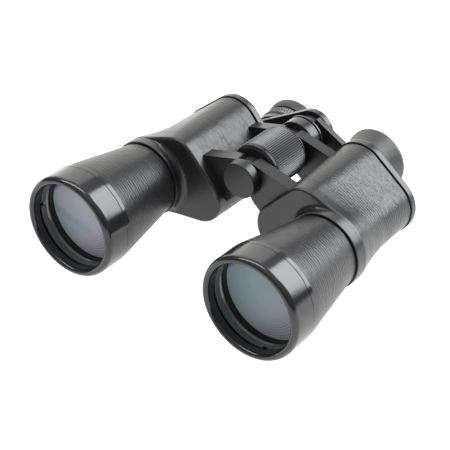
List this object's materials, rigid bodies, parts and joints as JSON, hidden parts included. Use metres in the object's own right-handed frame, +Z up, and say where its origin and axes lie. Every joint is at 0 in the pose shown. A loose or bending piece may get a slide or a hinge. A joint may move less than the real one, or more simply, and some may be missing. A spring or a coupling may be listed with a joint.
{
  "type": "binoculars",
  "caption": "Porro-prism binoculars with wide objective barrels, leatherette covering, a folding centre hinge, a ribbed focus wheel, a dioptre ring and rubber eyecups.",
  "frame": {"origin": "centre of the footprint, level with the lowest point of the objective rims", "axes": "+Z up, +X towards the user's left half, +Y from the objectives towards the eyepieces; both optical axes and the hinge run along Y"},
  "size_m": [0.1762, 0.1634, 0.0608],
  "materials": {
    "gloss_black": "hard black gloss enamel on turned aluminium",
    "satin_black": "semi-gloss black enamel on cast aluminium",
    "leatherette": "finely wrinkled black vinyl leatherette, 0.8 mm thick",
    "rubber": "matte moulded black rubber",
    "anodised": "black anodised, fine turning marks",
    "steel": "bright turned steel",
    "brass": "plain turned brass",
    "coated_lens": "polished glass with a thin blue anti-reflection coating",
    "prism_glass": "polished prism glass, ground ends"
  },
  "bodies": {
    "left_half": {"left_objective_ring": "gloss_black", "left_barrel": "satin_black", "left_barrel_covering": "leatherette", "left_objective_lens": "coated_lens", "left_retaining_ring": "anodised", "left_lens_ring": "satin_black", "left_housing": "satin_black", "left_housing_covering": "leatherette", "left_rear_cover": "satin_black", "left_cover_screw_1": "steel", "left_cover_screw_2": "steel", "left_prism_shelf": "anodised", "left_front_prism": "prism_glass", "left_rear_prism": "prism_glass", "left_front_prism_clip": "steel", "left_rear_prism_clip": "steel", "left_strap_lug": "steel", "left_guide_tube": "anodised", "left_front_arm": "satin_black", "left_rear_arm": "satin_black", "hinge_cap": "satin_black", "hinge_nut": "brass", "hinge_axle": "steel", "rear_collar": "gloss_black"},
    "right_half": {"right_objective_ring": "gloss_black", "right_barrel": "satin_black", "right_barrel_covering": "leatherette", "right_objective_lens": "coated_lens", "right_retaining_ring": "anodised", "right_lens_ring": "satin_black", "right_housing": "satin_black", "right_housing_covering": "leatherette", "right_rear_cover": "satin_black", "right_cover_screw_1": "steel", "right_cover_screw_2": "steel", "right_prism_shelf": "anodised", "right_front_prism": "prism_glass", "right_rear_prism": "prism_glass", "right_front_prism_clip": "steel", "right_rear_prism_clip": "steel", "right_strap_lug": "steel", "right_guide_tube": "anodised", "right_front_arm": "satin_black", "right_rear_arm": "satin_black"},
    "focus_wheel": {"focus_wheel": "anodised"},
    "left_ocular": {"left_bridge_arm": "satin_black", "focus_spindle": "steel", "focus_drive_pin": "steel", "bridge_screw": "steel", "left_ocular_tube": "anodised", "left_field_lens": "coated_lens", "left_eye_lens": "coated_lens", "left_eyecup": "rubber"},
    "right_ocular": {"right_bridge_arm": "satin_black", "right_ocular_tube": "anodised", "right_field_lens": "coated_lens"},
    "dioptre_ring": {"dioptre_ring": "anodised"},
    "dioptre_cell": {"dioptre_cell": "anodised", "right_eye_lens": "coated_lens", "right_eyecup": "rubber"}
  },
  "joints": [
    {"name": "fold", "type": "hinge", "parent": "left_half", "child": "right_half", "pos_m": [0, 0, 0.0461], "axis": [0, 1, 0], "range_deg": [-6, 54]},
    {"name": "focus_turn", "type": "hinge", "parent": "left_half", "child": "focus_wheel", "pos_m": [0, 0.01805, 0.0461], "axis": [0, 1, 0], "range_deg": [-90, 270]},
    {"name": "left_ocular_slide", "type": "slide", "parent": "left_half", "child": "left_ocular", "axis": [0, 1, 0], "range_m": [-0.002, 0.006]},
    {"name": "right_ocular_slide", "type": "slide", "parent": "right_half", "child": "right_ocular", "axis": [0, 1, 0], "range_m": [-0.0021, 0.0061]},
    {"name": "dioptre_turn", "type": "hinge", "parent": "right_ocular", "child": "dioptre_ring", "pos_m": [-0.0283, 0.0708, 0.0268], "axis": [0, 1, 0], "range_deg": [-50, 50]},
    {"name": "dioptre_slide", "type": "slide", "parent": "right_ocular", "child": "dioptre_cell", "axis": [0, 1, 0], "range_m": [-0.001, 0.001]}
  ],
  "couplings": [
    {"joint": "focus_turn", "follows": "left_ocular_slide", "rad_per_m": 785.39},
    {"joint": "right_ocular_slide", "follows": "left_ocular_slide", "ratio": 1},
    {"joint": "dioptre_turn", "follows": "dioptre_slide", "rad_per_m": 872.66}
  ]
}
